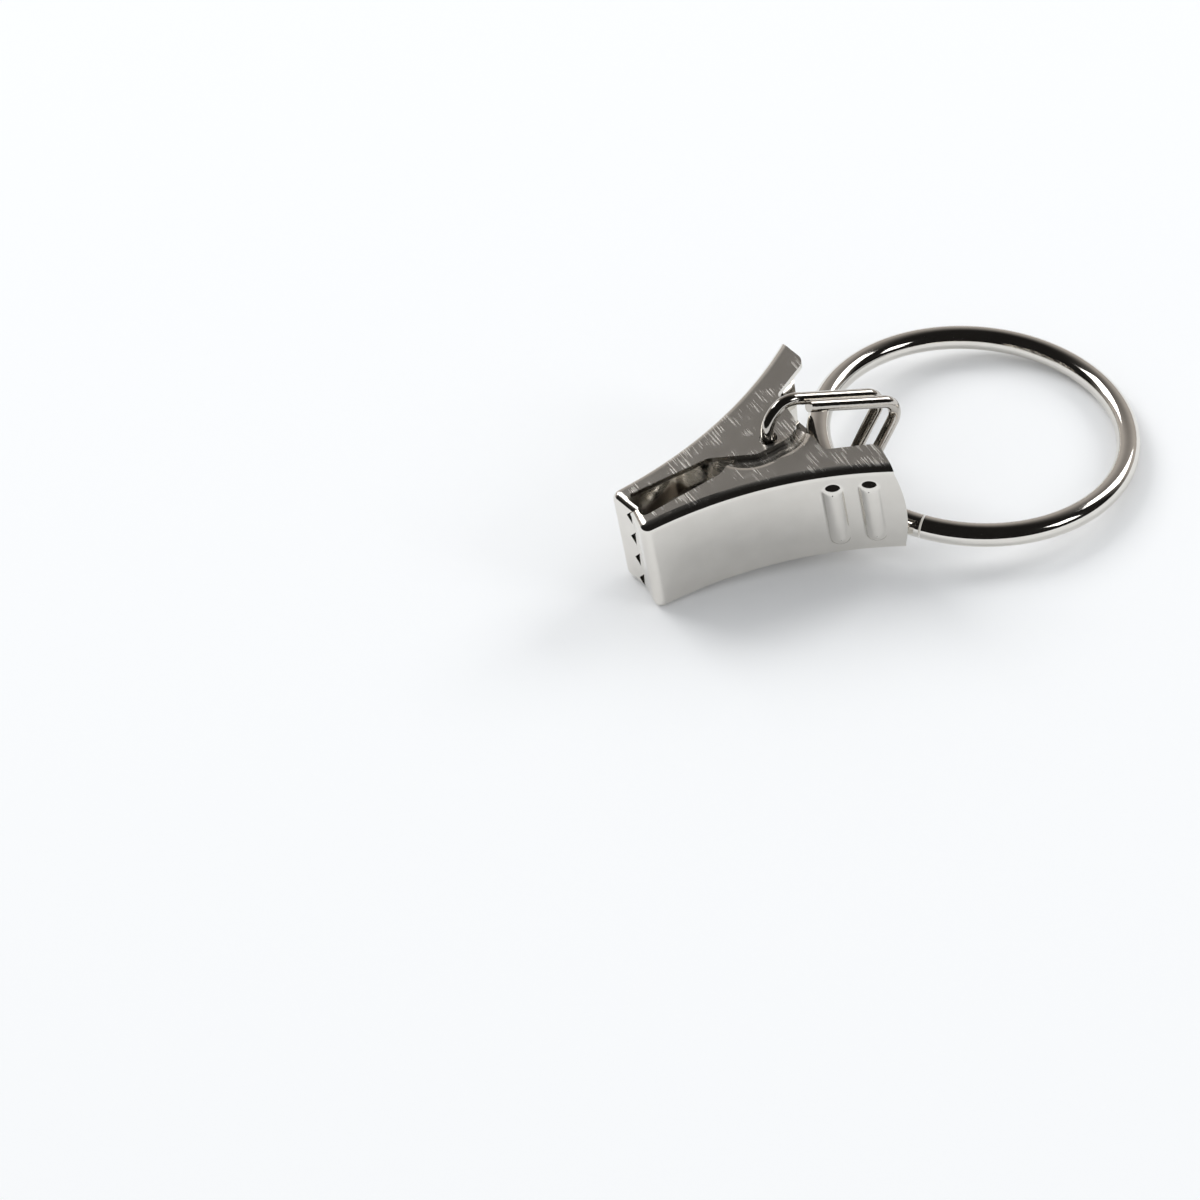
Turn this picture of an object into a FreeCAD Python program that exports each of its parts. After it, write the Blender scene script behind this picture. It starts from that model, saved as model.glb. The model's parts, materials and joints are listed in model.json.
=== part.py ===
import FreeCAD, Part
import math
import os

os.makedirs("parts", exist_ok=True)
V = FreeCAD.Vector

# Clip frame: x runs from the mouth to the handles, y across from the inner-ear jaw to the
# outer-ear jaw, z along the pivot. The pivot axis is x = y = 0. All sizes in millimetres.

# Sheet metal of both jaws
sheet = 0.5
jaw_width = 10.1
bend_radius = 0.8
mouth_length = 14.3
handle_length = 6.8
mouth_half = 3.0
handle_half = 9.7
plate_sagitta = 1.75
handle_bulge = 0.55

# Flange outline
flange_gap_half = 1.15
mouth_flange_half = 1.55
lip_rim = 0.12
step_start = -5.4
ear_reach = 1.05
ear_front = -1.7
ear_back = 2.9
ear_round = 2.2
web_back = 3.3
web_height = 4.15
handle_flange = 3.05
end_round = 1.2
end_lean = 8.0
ear_gap = 0.06
joggle_run = 1.25
joggle_long = 1.9

# Mouth lips and teeth
lip_lean = 0.5
tooth_pitch = 2.6
tooth_root = 0.62
tooth_tip = 0.5
tooth_clear = 0.12
tooth_flat = 0.22

# Grip ribs pressed outwards in each handle
rib_radius = 1.15
rib_height = 0.5
rib_length = 7.7
rib_back = 2.35
rib_spacing = 3.15
rib_foot = 0.3

# Link wire, which is the hinge pin too
link_wire = 1.1
pin_hole = 1.6
strand_gap = 0.06
link_top_radius = 2.4
link_top_slope = 28.5
link_apex = 12.75
link_apex_radius = 1.6
link_low_reach = 5.2
link_low_drop = 6.45
link_low_radius = 1.8
link_foot = 5.85
link_foot_radius = 0.9
link_back_apex = 11.6
link_back_reach = 5.65
link_spread = 0.45
link_end_top = 4.0
link_end_low = 2.6
link_ease_in = 6.0
link_ease_out = 3.6

# Torsion spring on the pin
spring_wire = 0.66
spring_mean = 1.2
spring_pitch = 0.8
spring_turns = 4
spring_leg = 3.1
spring_seat = 0.05

# Split ring
ring_inside = 25.0
ring_wire = 2.1
ring_split = 0.18
ring_split_angle = 222.6
ring_seat = 0.15
ring_station = 5.7
ring_yaw = -2.0

# Values that follow from the sizes above
half_width = jaw_width / 2.0
wire_r = link_wire / 2.0
ring_r = ring_wire / 2.0
ring_centre = ring_inside / 2.0 + ring_r
strand = wire_r + strand_gap / 2.0
lip_slope = lip_lean / mouth_half


def unit(x, y):
    length = math.hypot(x, y)
    return x / length, y / length


def plate_arc():
    # Centre and radius of the outer face of a plate, which is hollow lengthwise
    ax, ay = -mouth_length, mouth_half
    bx, by = handle_length, handle_half
    chord = math.hypot(bx - ax, by - ay)
    tx, ty = unit(bx - ax, by - ay)
    radius = (chord * chord / 4.0 + plate_sagitta ** 2) / (2.0 * plate_sagitta)
    mx = (ax + bx) / 2.0 - ty * (radius - plate_sagitta)
    my = (ay + by) / 2.0 + tx * (radius - plate_sagitta)
    return mx, my, radius


arc_x, arc_y, arc_r = plate_arc()
mouth_angle = math.atan2(mouth_half - arc_y, -mouth_length - arc_x)
end_angle = math.atan2(handle_half - arc_y, handle_length - arc_x)


def on_arc(radius, angle, z=0.0):
    return V(arc_x + radius * math.cos(angle), arc_y + radius * math.sin(angle), z)


def lip_x(y):
    # Outer face of a lip, leaning inwards towards its toothed edge
    return -mouth_length + (mouth_half - y) * lip_slope


def rounded(points, closed):
    # Lines through the points with each corner turned into an arc of the given radius
    count = len(points)
    edges = []
    starts = []
    ends = []
    mids = []
    for i in range(count):
        x, y, r = points[i]
        corner = V(x, y, 0)
        if r <= 0 or (not closed and i in (0, count - 1)):
            starts.append(corner)
            ends.append(corner)
            mids.append(None)
            continue
        before = points[i - 1]
        after = points[(i + 1) % count]
        ux, uy = unit(before[0] - x, before[1] - y)
        wx, wy = unit(after[0] - x, after[1] - y)
        half = math.acos(max(-1.0, min(1.0, ux * wx + uy * wy))) / 2.0
        back = r / math.tan(half)
        bx, by = unit(ux + wx, uy + wy)
        deep = r / math.sin(half) - r
        starts.append(V(x + ux * back, y + uy * back, 0))
        ends.append(V(x + wx * back, y + wy * back, 0))
        mids.append(V(x + bx * deep, y + by * deep, 0))
    last = count if closed else count - 1
    for i in range(count):
        if mids[i] is not None:
            edges.append(Part.Arc(starts[i], mids[i], ends[i]).toShape())
        if i < last:
            edges.append(Part.makeLine(ends[i], starts[(i + 1) % count]))
    return Part.Wire(edges)


def prism(wire, low, high):
    face = Part.Face(wire)
    solid = face.extrude(V(0, 0, high - low))
    solid.translate(V(0, 0, low))
    return solid


def channel():
    # Plate, flanges and lip as one closed-corner pressing, still untrimmed
    low_y = -ear_reach - 0.4
    past = end_angle + 2.0 / arc_r
    outer_mouth = on_arc(arc_r, mouth_angle)
    outer_end = on_arc(arc_r, past)
    middle = on_arc(arc_r, (mouth_angle + past) / 2.0)
    far_corner = V(handle_length + 6.0, low_y, 0)
    near_corner = V(lip_x(low_y), low_y, 0)
    outer_wire = Part.Wire([
        Part.Arc(outer_mouth, middle, outer_end).toShape(),
        Part.makeLine(outer_end, far_corner),
        Part.makeLine(far_corner, near_corner),
        Part.makeLine(near_corner, outer_mouth),
    ])
    outer = prism(outer_wire, -half_width, half_width)
    chosen = []
    for edge in outer.Edges:
        centre = edge.CenterOfMass
        long_edge = edge.Curve.TypeId == "Part::GeomCircle"
        lip_edge = abs(abs(centre.z) - half_width) < 1e-6 and centre.x < -mouth_length + 1.5
        corner_edge = abs(centre.z) < 1e-6 and (centre - outer_mouth).Length < 1e-6
        if long_edge or lip_edge or corner_edge:
            chosen.append(edge)
    outer = outer.makeFillet(bend_radius, chosen)

    # The hollow is the same outline moved in by the sheet thickness
    inner_r = arc_r + sheet
    shift = sheet * math.sqrt(1.0 + lip_slope ** 2)
    angle = mouth_angle
    for _ in range(40):
        point = on_arc(inner_r, angle)
        angle += (lip_x(point.y) + shift - point.x) / inner_r / math.cos(angle + math.pi / 2.0)
    inner_mouth = on_arc(inner_r, angle)
    over = end_angle + 4.0 / inner_r
    inner_end = on_arc(inner_r, over)
    inner_middle = on_arc(inner_r, (angle + over) / 2.0)
    deep_y = low_y - 4.0
    far_in = V(handle_length + 12.0, deep_y, 0)
    near_in = V(lip_x(deep_y) + shift, deep_y, 0)
    inner_wire = Part.Wire([
        Part.Arc(inner_mouth, inner_middle, inner_end).toShape(),
        Part.makeLine(inner_end, far_in),
        Part.makeLine(far_in, near_in),
        Part.makeLine(near_in, inner_mouth),
    ])
    inner = prism(inner_wire, -half_width + sheet, half_width - sheet)
    chosen = []
    for edge in inner.Edges:
        centre = edge.CenterOfMass
        long_edge = edge.Curve.TypeId == "Part::GeomCircle"
        flat = abs(abs(centre.z) - half_width + sheet) < 1e-6
        lip_edge = flat and centre.x < -mouth_length + 2.5
        corner_edge = abs(centre.z) < 1e-6 and (centre - inner_mouth).Length < 1e-6
        if long_edge or lip_edge or corner_edge:
            chosen.append(edge)
    inner = inner.makeFillet(bend_radius - sheet, chosen)
    return outer.cut(inner)


def end_line():
    # Handle end: its outer point, the way the cut runs, and the cut's length through the sheet
    point = on_arc(arc_r, end_angle)
    dx, dy = unit(point.x - arc_x, point.y - arc_y)
    lean = math.radians(end_lean)
    ex, ey = math.sin(lean), -math.cos(lean)
    return point, ex, ey, 1.0 / (ex * dx + ey * dy)


def flange_outline():
    point, ex, ey, stretch = end_line()
    far = V(point.x - ex * 3.0, point.y - ey * 3.0, 0)
    corner = V(point.x + ex * handle_flange * stretch, point.y + ey * handle_flange * stretch, 0)
    low = -ear_reach - 1.4
    rim = sheet * math.sqrt(1.0 + lip_slope ** 2) + lip_rim
    return rounded([
        (-mouth_length - 3.0, low, 0),
        (lip_x(low) + rim, low, 0),
        (lip_x(mouth_flange_half) + rim, mouth_flange_half, 0.5),
        (step_start, flange_gap_half, 1.6),
        (ear_front, -ear_reach, 1.4),
        (ear_back, -ear_reach, ear_round),
        (web_back, web_height, 0.6),
        (corner.x, corner.y, end_round),
        (far.x, far.y, 0),
        (-mouth_length - 3.0, far.y, 0),
    ], True)


def tooth_cut(edge_points):
    # Everything beyond the toothed edge of a lip
    low = -ear_reach - 1.5
    points = [V(0, low, -jaw_width)]
    for y, z in edge_points:
        points.append(V(0, y, z))
    points.append(V(0, low, jaw_width))
    points.append(points[0])
    face = Part.Face(Part.makePolygon(points))
    solid = face.extrude(V(4.5, 0, 0))
    solid.translate(V(-mouth_length - 2.0, 0, 0))
    return solid


def tooth_edge():
    # Outer-ear jaw: pointed teeth, four V notches set evenly about the middle
    points = []
    count = 4
    for i in range(count + 1):
        tip = (i - count / 2.0) * tooth_pitch
        points.append((-tooth_tip, tip))
        if i < count:
            points.append((tooth_root, tip + tooth_pitch / 2.0))
    first = (-tooth_tip, -jaw_width)
    last = (-tooth_tip, jaw_width)
    return [first] + points + [last]


def matching_edge():
    # Inner-ear jaw, mirrored side: blunt teeth that stand in those notches
    slope = (tooth_root + tooth_tip) / (tooth_pitch / 2.0)
    flat = (tooth_root - tooth_clear - tooth_flat) / slope
    points = [(tooth_tip + tooth_clear, -jaw_width)]
    count = 4
    for i in range(count + 1):
        root = (i - count / 2.0) * tooth_pitch
        points.append((tooth_tip + tooth_clear, root))
        if i < count:
            middle = root + tooth_pitch / 2.0
            points.append((-tooth_flat, middle - flat))
            points.append((-tooth_flat, middle + flat))
    points.append((tooth_tip + tooth_clear, jaw_width))
    return points


def capsule(radius, length):
    body = Part.makeCylinder(radius, length, V(0, 0, -length / 2.0))
    top = Part.makeSphere(radius, V(0, 0, length / 2.0))
    bottom = Part.makeSphere(radius, V(0, 0, -length / 2.0))
    return body.fuse([top, bottom]).removeSplitter()


def rib_bump(length):
    # Round-topped rib with hollow feet that run out into the plate; x along the plate, y outwards
    deep = rib_height - rib_radius
    foot = math.sqrt((rib_radius + rib_foot) ** 2 - (rib_foot - deep) ** 2)
    share = rib_radius / (rib_radius + rib_foot)
    touch = V(foot * share, deep + (rib_foot - deep) * share, 0)
    spread = math.atan2(rib_foot - touch.y, foot - touch.x)
    aim = (spread + math.pi / 2.0) / 2.0
    hollow = V(foot - rib_foot * math.cos(aim), rib_foot - rib_foot * math.sin(aim), 0)
    crown = V(0, rib_height, 0)
    half_top = math.atan2(touch.x, touch.y - deep) / 2.0
    over = V(rib_radius * math.sin(half_top), deep + rib_radius * math.cos(half_top), 0)
    toe = V(foot, 0, 0)
    low = V(foot, -0.6 * sheet, 0)
    base = V(0, -0.6 * sheet, 0)
    half = Part.Wire([
        Part.Arc(crown, over, touch).toShape(),
        Part.Arc(touch, hollow, toe).toShape(),
        Part.makeLine(toe, low),
        Part.makeLine(low, base),
        Part.makeLine(base, crown),
    ])
    face = Part.Face(half)
    button = face.revolve(V(0, 0, 0), V(0, 1, 0), 360.0)
    bar = face.extrude(V(0, 0, length))
    bar = bar.fuse(bar.mirror(V(0, 0, 0), V(1, 0, 0)))
    bar.translate(V(0, 0, -length / 2.0))
    low_button = button.copy()
    button.translate(V(0, 0, length / 2.0))
    low_button.translate(V(0, 0, -length / 2.0))
    return bar.fuse([button, low_button]).removeSplitter()


def add_ribs(jaw):
    # Two ribs across the handle, raised outside and hollow inside
    straight = rib_length - 2.0 * rib_radius
    for i in range(2):
        angle = end_angle - (rib_back + i * rib_spacing) / arc_r
        turn = math.degrees(angle) + 90.0
        bump = rib_bump(straight)
        bump.rotate(V(0, 0, 0), V(0, 0, 1), turn)
        bump.translate(on_arc(arc_r, angle))
        jaw = jaw.fuse(bump)
        groove = capsule(rib_radius - sheet, straight)
        groove.translate(on_arc(arc_r + rib_radius - rib_height, angle))
        jaw = jaw.cut(groove)
    return jaw.removeSplitter()


def add_bulge(jaw):
    # The free end of the handle bows out a little between its rounded corners
    point, ex, ey, stretch = end_line()
    side = half_width - bend_radius
    tx, ty = -math.sin(end_angle), math.cos(end_angle)
    a = V(point.x, point.y, -side)
    b = V(point.x + tx * handle_bulge, point.y + ty * handle_bulge, 0)
    c = V(point.x, point.y, side)
    wire = Part.Wire([Part.Arc(a, b, c).toShape(), Part.makeLine(c, a)])
    deep = sheet * stretch
    segment = Part.Face(wire).extrude(V(ex * deep, ey * deep, 0))
    return jaw.fuse(segment).removeSplitter()


def sheet_jaw(edge_points):
    body = channel().common(prism(flange_outline(), -half_width - 1.0, half_width + 1.0))
    body = body.cut(tooth_cut(edge_points))
    body = add_bulge(body)
    return add_ribs(body)


def pin_bore():
    return Part.makeCylinder(pin_hole / 2.0, jaw_width + 2.0, V(0, 0, -half_width - 1.0))


def ear_centre():
    x = ear_back - ear_round
    y = ear_round - ear_reach
    return x, y


def joggled_sheet(side):
    # Ear of the inner jaw: an S bend that takes it one sheet thickness under the outer ear
    drop = sheet + ear_gap
    start = ear_round + 0.55
    radius = (joggle_run ** 2 + drop ** 2) / (4.0 * drop)
    turn = math.asin(joggle_run / 2.0 / radius)
    top = half_width
    low = top - drop
    rim = start + joggle_run + 0.4

    def curve(thick):
        first_r = radius + thick
        second_r = radius - thick
        c1 = V(start, 0, low + radius)
        c2 = V(start + joggle_run, 0, top - radius)
        p0 = V(0, 0, low - thick)
        p1 = V(start, 0, low - thick)
        half = turn / 2.0
        m1 = c1 + V(first_r * math.sin(half), 0, -first_r * math.cos(half))
        p2 = c1 + V(first_r * math.sin(turn), 0, -first_r * math.cos(turn))
        m2 = c2 + V(-second_r * math.sin(half), 0, second_r * math.cos(half))
        p3 = V(start + joggle_run, 0, top - thick)
        p4 = V(rim, 0, top - thick)
        arcs = [
            Part.makeLine(p0, p1),
            Part.Arc(p1, m1, p2).toShape(),
            Part.Arc(p2, m2, p3).toShape(),
            Part.makeLine(p3, p4),
        ]
        return arcs, p0, p4

    upper, u0, u4 = curve(0.0)
    lower, l0, l4 = curve(sheet)
    wire = Part.Wire(Part.__sortEdges__(upper + [Part.makeLine(u4, l4)] + lower + [Part.makeLine(l0, u0)]))
    face = Part.Face(wire)
    right = face.copy()
    right.rotate(V(0, 0, 0), V(0, 0, 1), 90.0)
    left = right.copy()
    left.translate(V(-joggle_long, 0, 0))
    middle = left.extrude(V(joggle_long, 0, 0))
    left = left.revolve(V(-joggle_long, 0, 0), V(0, 0, 1), 180.0)
    right = right.revolve(V(0, 0, 0), V(0, 0, 1), -180.0)
    dish = right.fuse([middle, left])
    if side < 0:
        dish = dish.mirror(V(0, 0, 0), V(0, 0, 1))
    x, y = ear_centre()
    dish.translate(V(x, -y, 0))
    return dish, rim


def dip_room(rim):
    # Long round-ended block that clears the flat flange where the dipped ear goes
    x, y = ear_centre()
    low = half_width - sheet - 0.3
    ends = [Part.makeCylinder(rim - 0.2, 3.0, V(x - k * joggle_long, -y, low)) for k in (0, 1)]
    bar = Part.makeBox(joggle_long, 2.0 * rim - 0.4, 3.0, V(x - joggle_long, -y - rim + 0.2, low))
    return bar.fuse(ends)


def outer_jaw():
    return sheet_jaw(tooth_edge()).cut(pin_bore())


def inner_jaw():
    body = sheet_jaw(matching_edge())
    outline = prism(flange_outline(), -half_width - 1.0, half_width + 1.0)
    for side in (1, -1):
        dish, rim = joggled_sheet(side)
        clear = dip_room(rim)
        if side < 0:
            clear = clear.mirror(V(0, 0, 0), V(0, 0, 1))
        body = body.cut(clear.common(outline))
        body = body.fuse(dish.common(outline))
    body = body.removeSplitter().cut(pin_bore())
    return body.mirror(V(0, 0, 0), V(0, 1, 0))


def link_corners(apex_x, reach):
    # Sharp corners of one turn of the link, each with its bend radius, from the foot round
    slope = math.tan(math.radians(link_top_slope))
    half = math.radians(90.0 - link_top_slope) / 2.0
    top = half_width + 0.1 + link_top_radius / math.tan(half)
    return [
        (0.0, -link_foot, link_foot_radius),
        (reach, -link_low_drop, link_low_radius),
        (apex_x, top - apex_x * slope, link_apex_radius),
        (0.0, top, link_top_radius),
    ]


def low_corner_centre():
    # Centre of the bend that the link rests on
    foot, low, apex, top = link_corners(link_apex, link_low_reach)
    ux, uy = unit(foot[0] - low[0], foot[1] - low[1])
    wx, wy = unit(apex[0] - low[0], apex[1] - low[1])
    half = math.acos(ux * wx + uy * wy) / 2.0
    bx, by = unit(ux + wx, uy + wy)
    deep = link_low_radius / math.sin(half)
    return low[0] + bx * deep, low[1] + by * deep


def wire_sweep(curve, radius, binormal):
    # Round wire along a curve, with the section held square to one fixed direction
    start = curve.value(curve.FirstParameter)
    tangent = curve.tangent(curve.FirstParameter)[0]
    circle = Part.Wire([Part.makeCircle(radius, start, tangent)])
    sweep = Part.BRepOffsetAPI.MakePipeShell(Part.Wire([curve.toShape()]))
    sweep.setBiNormalMode(binormal)
    sweep.add(circle)
    sweep.build()
    sweep.makeSolid()
    return sweep.shape()


def link():
    # One wire, two turns: in at the top arm, down, up through the ears, over and down again
    foot, low, apex, top = link_corners(link_apex, link_low_reach)
    back_foot, back_low, back_apex, back_top = link_corners(link_back_apex, link_back_reach)
    start = (link_end_top, top[1] - link_end_top * math.tan(math.radians(link_top_slope)), 0.0)
    fall = (link_low_drop - link_foot) / link_back_reach
    end = (link_end_low, -link_foot - link_end_low * fall, 0.0)
    path = rounded([start, apex, low, foot, top, back_apex, back_low, end], False)
    flat = path.discretize(Number=161)
    if (flat[0] - V(start[0], start[1], 0)).Length > 0.01:
        flat.reverse()
    step = path.Length / (len(flat) - 1)
    on_pin = [i for i, p in enumerate(flat) if abs(p.x) < 1e-4]
    points = []
    for i, p in enumerate(flat):
        below = max(0.0, min(1.0, (apex[1] - p.y) / (apex[1] + link_low_drop)))
        aside = strand + link_spread * math.sin(math.pi * 0.6 * below)
        ease_in = max(0.0, min(1.0, (on_pin[0] - i) * step / link_ease_in))
        ease_out = max(0.0, min(1.0, (i - on_pin[-1]) * step / link_ease_out))
        points.append(V(p.x, (ease_out - ease_in) * aside, p.y))
    curve = Part.BSplineCurve()
    curve.interpolate(points)
    return wire_sweep(curve, wire_r, V(0, 1, 0))


def spring():
    # Coil round the pin, with a leg out along the inside of each handle
    turns = spring_turns + 0.5
    height = spring_pitch * turns
    seat_r = arc_r + sheet + spring_wire / 2.0 + spring_seat
    seat_y = arc_y - math.sqrt(seat_r ** 2 - (spring_leg - arc_x) ** 2)
    reach = math.hypot(spring_leg, seat_y)
    lean = math.atan2(seat_y, spring_leg)
    open_angle = math.acos(spring_mean / reach)
    start = lean + open_angle
    finish = -start
    sweep = 2.0 * math.pi * spring_turns + (finish - start) % (2.0 * math.pi)
    count = 16 * spring_turns + 12
    points = []
    tangent_length = math.sqrt(reach ** 2 - spring_mean ** 2)
    for i in range(4):
        f = i / 4.0
        x = spring_leg + (spring_mean * math.cos(start) - spring_leg) * f
        y = seat_y + (spring_mean * math.sin(start) - seat_y) * f
        points.append(V(x, y, -height / 2.0))
    for i in range(count + 1):
        f = i / count
        angle = start + sweep * f
        points.append(V(spring_mean * math.cos(angle), spring_mean * math.sin(angle), height * (f - 0.5)))
    for i in range(1, 5):
        f = i / 4.0
        x = spring_mean * math.cos(finish) + (spring_leg - spring_mean * math.cos(finish)) * f
        y = spring_mean * math.sin(finish) + (-seat_y - spring_mean * math.sin(finish)) * f
        points.append(V(x, y, height / 2.0))
    curve = Part.BSplineCurve()
    curve.interpolate(points)
    return wire_sweep(curve, spring_wire / 2.0, V(0, 0, 1))


def rest_pitch():
    # Angle at which the mouth corners and the low corner of the link share one floor
    x1 = -mouth_length + bend_radius
    z1 = -half_width + bend_radius
    x2, z2 = low_corner_centre()
    dx, dz = x2 - x1, z2 - z1
    gain = link_low_radius + wire_r - bend_radius
    return math.asin(gain / math.hypot(dx, dz)) - math.atan2(dz, dx)


pitch = rest_pitch()


def to_floor(shape):
    moved = shape.copy()
    moved.rotate(V(0, 0, 0), V(0, 1, 0), -math.degrees(pitch))
    return moved


def floor_point(x, z):
    return x * math.cos(pitch) - z * math.sin(pitch), x * math.sin(pitch) + z * math.cos(pitch)


def ring_pose():
    # The ring lies on the lower flanges of both handles, and its far side on the floor
    floor_z = floor_point(*low_corner_centre())[1] - link_low_radius - wire_r
    rest_x = handle_length
    tilt = 0.0
    for _ in range(20):
        slope = tilt + pitch
        rest_z = -half_width + sheet + ring_seat + ring_r / math.cos(slope)
        z = rest_z + (rest_x - ring_station) * math.tan(slope)
        cross_x, cross_z = floor_point(ring_station, z)
        tilt = math.asin((cross_z - floor_z - ring_r) / (2.0 * ring_centre))
    return cross_x, cross_z, tilt


def ring():
    x, z, tilt = ring_pose()
    gap = math.degrees(ring_split / ring_centre)
    body = Part.makeTorus(ring_centre, ring_r, V(0, 0, 0), V(0, 0, 1), -180, 180, 360.0 - gap)
    body.rotate(V(0, 0, 0), V(0, 0, 1), ring_split_angle)
    body.translate(V(ring_centre, 0, 0))
    body.rotate(V(0, 0, 0), V(0, 1, 0), math.degrees(tilt))
    body.rotate(V(0, 0, 0), V(0, 0, 1), ring_yaw)
    body.translate(V(x, 0, z))
    return body


pieces = {
    "jaw_inner": to_floor(inner_jaw()),
    "jaw_outer": to_floor(outer_jaw()),
    "spring": to_floor(spring()),
    "link": to_floor(link()),
    "ring": ring(),
}

# The origin is the middle of the footprint, on the floor
box = FreeCAD.BoundBox()
for shape in pieces.values():
    box.add(shape.optimalBoundingBox(False))
shift = V(-(box.XMin + box.XMax) / 2.0, -(box.YMin + box.YMax) / 2.0, -box.ZMin)
for name, shape in pieces.items():
    shape.translate(shift)
    solid = shape.Solids[0]
    solid.exportStep("parts/" + name + ".step")
    print(name, len(shape.Solids), solid.isValid(), round(solid.Volume, 3))

ring_x, ring_z, ring_tilt = ring_pose()
print("pitch", round(math.degrees(pitch), 4), "shift", [round(c, 5) for c in shift])
print("ring crossing", round(ring_x + shift.x, 4), round(shift.y, 4), round(ring_z + shift.z, 4))
print("ring tilt", round(math.degrees(ring_tilt), 3), "size", round(box.XLength, 3), round(box.YLength, 3), round(box.ZLength, 3))
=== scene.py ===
import json
import math

import bpy
from mathutils import Matrix, Vector


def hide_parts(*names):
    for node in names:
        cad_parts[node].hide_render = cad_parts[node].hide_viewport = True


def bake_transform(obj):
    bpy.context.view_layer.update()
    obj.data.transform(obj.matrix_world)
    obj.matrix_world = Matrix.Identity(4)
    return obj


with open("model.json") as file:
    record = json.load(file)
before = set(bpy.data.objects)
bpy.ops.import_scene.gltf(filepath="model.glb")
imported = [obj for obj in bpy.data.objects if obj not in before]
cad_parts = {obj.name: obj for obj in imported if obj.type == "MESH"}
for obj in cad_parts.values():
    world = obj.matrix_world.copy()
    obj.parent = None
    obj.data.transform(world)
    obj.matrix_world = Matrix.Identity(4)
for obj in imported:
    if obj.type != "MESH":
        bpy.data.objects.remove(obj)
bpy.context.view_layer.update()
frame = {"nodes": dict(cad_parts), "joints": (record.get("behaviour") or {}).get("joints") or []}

MM = 0.001

# Camera, as fitted to the photograph: degrees, metres, and shares of the picture's width
VIEW_AZIMUTH = 25.98
VIEW_ELEVATION = 43.36
VIEW_ROLL = -4.32
VIEW_DISTANCE = 0.6897
NEAR_CLIP = 0.01
LENS_MM = 240.0
SENSOR_MM = 36.0
FRAME_SHARE_RIGHT = 0.1465
FRAME_SHARE_UP = 0.1006

# Floor
FLOOR_SIZE = 6.0
FLOOR_COLOUR = (0.98, 0.985, 0.99)
FLOOR_ROUGHNESS = 0.9
FLOOR_SPECULAR = 0.1

# Soft boxes: name, place (right of the camera, away from it, up), width and height, watts
SOFT_BOXES = (
    ("key", (-0.85, 0.75, 1.0), (0.8, 0.8), 8.6),
    ("rim", (0.85, 0.55, 0.7), (0.5, 0.6), 3.5),
    ("side", (0.95, -0.45, 0.6), (0.35, 0.35), 1.2),
)

# Room: even light, and for reflections a dark ceiling with a paler wall behind the object
ROOM_LIGHT = 0.61
ROOM_COLOUR = (0.96, 0.98, 1.0)
MIRROR_COLOUR = (1.0, 0.93, 0.87)
CEILING_LIGHT = 0.012
WALL_LIGHT = 0.46
WALL_FADE_UP = (0.25, 0.98)
WALL_FADE_BACK = (0.05, 0.6)

# Metal colours, each from its dark clouds to its light ones
NICKEL = ((0.71, 0.685, 0.64), (0.80, 0.775, 0.73))
# The link's nickel is a darker copy: painted shade for the link, which lies in the clip's shadow
SHADED_LINK_NICKEL = ((0.5, 0.47, 0.43), (0.6, 0.57, 0.53))
STEEL = ((0.30, 0.29, 0.28), (0.42, 0.41, 0.39))
# Painted shade: the dark colour given to the inside between the jaws
INSIDE_SHADE_COLOUR = (0.2, 0.17, 0.14)

# Where the sheet is dull, or painted dark as shade inside between the jaws, as fades in the clip's own frame,
# in millimetres:
# tall is the distance from the middle along the pivot, flank the distance across it
FLANGE_TALL = (4.85, 5.02)
EAR_TALL = (3.8, 4.0)
EAR_FLANK = (2.6, 2.9)
EAR_ALONG = (-4.2, -3.6)
# The inside between the jaws, where shade is painted and the sheet is rougher
INSIDE_TALL = (4.56, 4.62)
INSIDE_FLANK = (2.3, 2.7)
INSIDE_FRONT = (-13.3, -12.9)
INSIDE_BACK = (-3.8, -3.2)

# Sheet finish: noise as counts per millimetre along, across and along the pivot, and its detail
SHEET_CLOUD = ((0.55, 0.55, 0.55), 3.0)
SCRATCHES = ((6.5, 0.4, 0.4), 0.0)
SCRATCH_PATCHES = ((0.5, 0.5, 0.5), 1.0)
SCRATCH_FADE = (0.48, 0.7)
PATCH_FADE = (0.44, 0.62)
DULL_TONE = 0.1
SCRATCH_TONE = 0.7
SHEET_ROUGHNESS = 0.055
CLOUD_ROUGHNESS = 0.05
DULL_ROUGHNESS = 0.15
SCRATCH_ROUGHNESS = 0.12
INSIDE_ROUGHNESS = 0.3
SHEET_CLOUD_HEIGHT = 0.12
SHEET_BUMP = {"Strength": 0.15, "Distance": 0.00004}

# Wire finish
WIRE_CLOUD = ((0.7, 0.7, 0.7), 4.0)
WIRE_PITS = ((6.0, 6.0, 6.0), 2.0)
WIRE_ROUGHNESS = 0.05
STEEL_ROUGHNESS = 0.22
WIRE_CLOUD_HEIGHT = 0.5
WIRE_PIT_HEIGHT = 0.08
WIRE_BUMP = {"Strength": 0.2, "Distance": 0.00005}

hinge = next(j for j in frame["joints"] if j["name"] == "jaw_pivot")
pivot = Vector(hinge["pos_m"])
hinge_axis = Vector(hinge["axis"])


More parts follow.
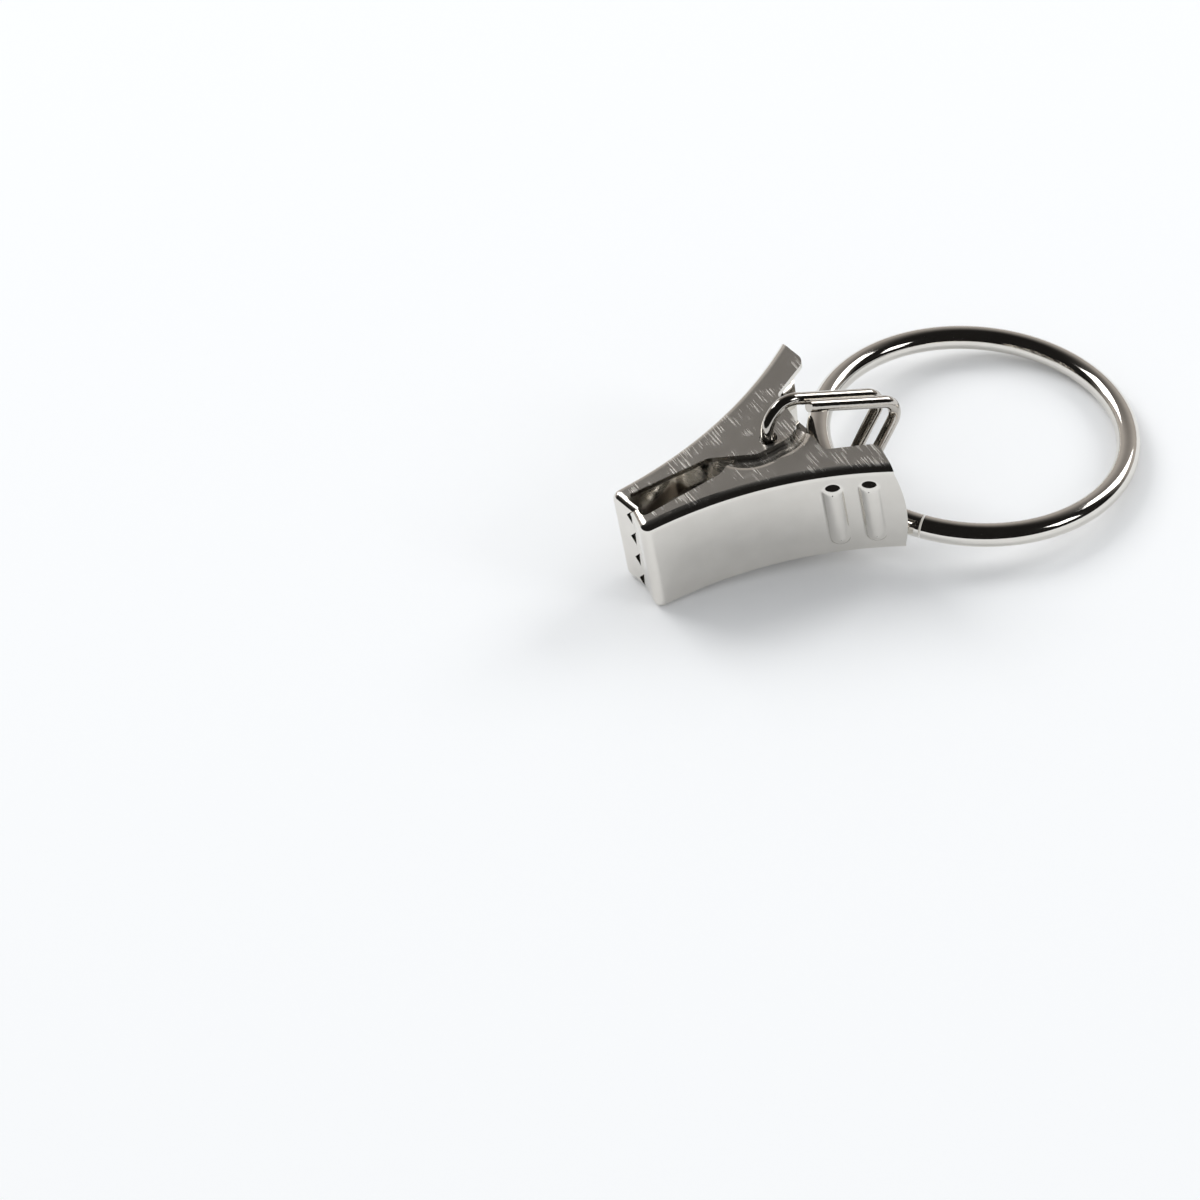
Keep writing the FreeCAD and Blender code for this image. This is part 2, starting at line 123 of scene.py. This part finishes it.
class Wire:
    """One output of a shader node. Arithmetic on it adds Math nodes to the same tree."""

    def __init__(self, tree, socket):
        self.tree = tree
        self.socket = socket

    @classmethod
    def node(cls, tree, kind, settings, sockets, *outs):
        """Adds a node: its settings first, then values or wires to its sockets. One wire per output named."""
        made = tree.nodes.new(kind)
        for name, value in settings.items():
            setattr(made, name, value)
        for key, value in sockets.items():
            plug(tree, value, made.inputs[key])
        wires = [cls(tree, made.outputs[out]) for out in outs]
        return wires[0] if len(wires) == 1 else wires

    def maths(self, operation, *values):
        return Wire.node(self.tree, "ShaderNodeMath", {"operation": operation}, dict(enumerate(values)), 0)

    def __abs__(self):
        return self.maths("ABSOLUTE", self)

    def __add__(self, other):
        return self.maths("ADD", self, other)

    def __radd__(self, other):
        return self.maths("ADD", other, self)

    def __sub__(self, other):
        return self.maths("SUBTRACT", self, other)

    def __rsub__(self, other):
        return self.maths("SUBTRACT", other, self)

    def __mul__(self, other):
        return self.maths("MULTIPLY", self, other)

    def __rmul__(self, other):
        return self.maths("MULTIPLY", other, self)


def plug(tree, value, socket):
    if isinstance(value, Wire):
        tree.links.new(value.socket, socket)
    else:
        socket.default_value = value


def opaque(colour):
    return (*colour, 1.0)


def new_material(name):
    material = bpy.data.materials.new(name)
    material.use_nodes = True
    tree = material.node_tree
    return material, tree, tree.nodes["Principled BSDF"].inputs


def split(tree, kind):
    """The three parts of the texture coordinate of that kind."""
    spot = Wire.node(tree, "ShaderNodeTexCoord", {}, {}, kind)
    return Wire.node(tree, "ShaderNodeSeparateXYZ", {}, {0: spot}, 0, 1, 2)


def clip_place(tree):
    """Place in the clip's own frame, in millimetres: along it, across it, and along its pivot."""
    sine, cosine = hinge_axis.x, -hinge_axis.z
    x, y, z = ((part - middle) * (1.0 / MM) for part, middle in zip(split(tree, "Object"), pivot))
    return x * cosine + z * sine, y, z * cosine - x * sine


def ramp(value, low, high):
    """0 below low, 1 above high, and smooth between them."""
    sockets = dict(enumerate((value, low, high, 0.0, 1.0)))
    return Wire.node(value.tree, "ShaderNodeMapRange", {"interpolation_type": "SMOOTHSTEP"}, sockets, 0)


def noise(place, stretch, detail):
    """Noise over a place given as three wires, each stretched by its own count per millimetre."""
    tree = place[0].tree
    stretched = {slot: part * count for slot, (part, count) in enumerate(zip(place, stretch))}
    spot = Wire.node(tree, "ShaderNodeCombineXYZ", {}, stretched, 0)
    return Wire.node(tree, "ShaderNodeTexNoise", {}, {"Vector": spot, "Scale": 1.0, "Detail": detail}, "Fac")


def tint(amount, dark, light):
    """Colour from dark to light. Each end is a colour with its alpha, or another tint."""
    return Wire.node(amount.tree, "ShaderNodeMix", {"data_type": "RGBA"}, {0: amount, 6: dark, 7: light}, 2)


def finish(tree, inputs, colour, roughness, height, bump):
    """Gives a metal its colour, roughness and relief."""
    inputs["Metallic"].default_value = 1.0
    plug(tree, colour, inputs["Base Color"])
    plug(tree, roughness, inputs["Roughness"])
    plug(tree, Wire.node(tree, "ShaderNodeBump", {}, {**bump, "Height": height}, 0), inputs["Normal"])


def sheet_finish(name, dark, light):
    """Bright nickel on pressed sheet: mirror plates, duller flanges with cross scratches, and painted shade
    inside between the jaws, as a dark colour on rougher sheet.
    """
    material, tree, inputs = new_material(name)
    place = clip_place(tree)
    along, across, high = place
    tall, flank = abs(high), abs(across)
    ear = ramp(tall, *EAR_TALL) * (1.0 - ramp(flank, *EAR_FLANK)) * ramp(along, *EAR_ALONG)
    dull = ear.maths("MAXIMUM", ramp(tall, *FLANGE_TALL), ear)
    # Painted shade: the inside between the jaws gets a dark colour and more roughness
    inside = (1.0 - ramp(flank, *INSIDE_FLANK)) * (1.0 - ramp(tall, *INSIDE_TALL))
    inside = inside * ramp(along, *INSIDE_FRONT) * (1.0 - ramp(along, *INSIDE_BACK))
    cloud = noise(place, *SHEET_CLOUD)
    scratch = ramp(noise(place, *SCRATCHES), *SCRATCH_FADE) * ramp(noise(place, *SCRATCH_PATCHES), *PATCH_FADE)
    tone = cloud * (1.0 - dull) + dull * (DULL_TONE + scratch * SCRATCH_TONE)
    colour = tint(inside, tint(tone, opaque(dark), opaque(light)), opaque(INSIDE_SHADE_COLOUR))
    rough = SHEET_ROUGHNESS + cloud * CLOUD_ROUGHNESS + inside * INSIDE_ROUGHNESS
    rough = rough + dull * (DULL_ROUGHNESS + scratch * SCRATCH_ROUGHNESS)
    finish(tree, inputs, colour, rough, scratch * dull + cloud * SHEET_CLOUD_HEIGHT, SHEET_BUMP)
    return material


def wire_finish(name, dark, light, base_rough):
    """Bright drawn wire: a mirror finish with faint cloudiness and fine pits."""
    material, tree, inputs = new_material(name)
    place = clip_place(tree)
    cloud = noise(place, *WIRE_CLOUD)
    height = cloud * WIRE_CLOUD_HEIGHT + noise(place, *WIRE_PITS) * WIRE_PIT_HEIGHT
    colour = tint(cloud, opaque(dark), opaque(light))
    finish(tree, inputs, colour, base_rough + cloud * CLOUD_ROUGHNESS, height, WIRE_BUMP)
    return material


def dress(material, *node_names):
    for node_name in node_names:
        piece = frame["nodes"][node_name]
        piece.data.materials.clear()
        piece.data.materials.append(material)


dress(sheet_finish("sheet_nickel", *NICKEL), "jaw_inner", "jaw_outer")
dress(wire_finish("wire_nickel", *NICKEL, WIRE_ROUGHNESS), "ring")
# The link gets the darker nickel: painted shade
dress(wire_finish("shaded_link_nickel", *SHADED_LINK_NICKEL, WIRE_ROUGHNESS), "link")
dress(wire_finish("spring_steel", *STEEL, STEEL_ROUGHNESS), "spring")

# Spring: it winds up as the jaws open; a plain copy of its mesh takes its place, and the CAD spring is hidden
wound_spring = bpy.data.objects.new("wound_spring", frame["nodes"]["spring"].data.copy())
bpy.context.scene.collection.objects.link(wound_spring)
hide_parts("spring")
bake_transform(wound_spring)

# Floor
bpy.ops.mesh.primitive_plane_add(size=FLOOR_SIZE)
floor = bpy.context.active_object
floor.name = "floor"
paper, paper_tree, paper_inputs = new_material("paper")
paper_inputs["Base Color"].default_value = opaque(FLOOR_COLOUR)
paper_inputs["Roughness"].default_value = FLOOR_ROUGHNESS
paper_inputs["Specular IOR Level"].default_value = FLOOR_SPECULAR
floor.data.materials.append(paper)

# Camera: the pivot of the clip stands right of and above the middle of the picture
azimuth = math.radians(VIEW_AZIMUTH)
elevation = math.radians(VIEW_ELEVATION)
away = Vector((math.sin(azimuth), math.cos(azimuth), 0.0))
side = Vector((math.cos(azimuth), -math.sin(azimuth), 0.0))
towards = Vector((0, 0, math.sin(elevation))) - away * math.cos(elevation)
right = Matrix.Rotation(math.radians(VIEW_ROLL), 3, towards) @ side
up = towards.cross(right)
seen = VIEW_DISTANCE * SENSOR_MM / LENS_MM
camera_data = bpy.data.cameras.new("camera")
camera_data.lens = LENS_MM
camera_data.sensor_width = SENSOR_MM
camera_data.clip_start = NEAR_CLIP
camera = bpy.data.objects.new("camera", camera_data)
bpy.context.scene.collection.objects.link(camera)
spot = pivot + towards * VIEW_DISTANCE - right * seen * FRAME_SHARE_RIGHT - up * seen * FRAME_SHARE_UP
camera.matrix_world = Matrix.Translation(spot) @ Matrix((right, up, towards)).transposed().to_4x4()
bpy.context.scene.camera = camera


def soft_box(name, place, size, watts):
    """A lamp aimed at the object, placed in the camera's terms."""
    data = bpy.data.lights.new(name, "AREA")
    data.shape = "RECTANGLE"
    data.size, data.size_y = size
    data.energy = watts
    lamp = bpy.data.objects.new(name, data)
    bpy.context.scene.collection.objects.link(lamp)
    across, back, high = place
    lamp.location = side * across + away * back + Vector((0, 0, high))
    lamp.rotation_euler = (-lamp.location).to_track_quat("-Z", "Y").to_euler()


for box in SOFT_BOXES:
    soft_box(*box)

# Room
world = bpy.data.worlds.new("world")
bpy.context.scene.world = world
world.use_nodes = True
room = world.node_tree
sky = room.nodes["Background"].inputs
seen_x, seen_y, seen_z = split(room, "Generated")
behind = ramp(seen_x * away.x + seen_y * away.y, *WALL_FADE_BACK)
wall = behind * (1.0 - ramp(seen_z, *WALL_FADE_UP))
mirrored = Wire.node(room, "ShaderNodeLightPath", {}, {}, "Is Glossy Ray")
shine = CEILING_LIGHT + wall * WALL_LIGHT
plug(room, ROOM_LIGHT * (1.0 - mirrored) + mirrored * shine, sky["Strength"])
plug(room, tint(mirrored, opaque(ROOM_COLOUR), opaque(MIRROR_COLOUR)), sky["Color"])

bpy.context.scene.view_settings.view_transform = "Standard"
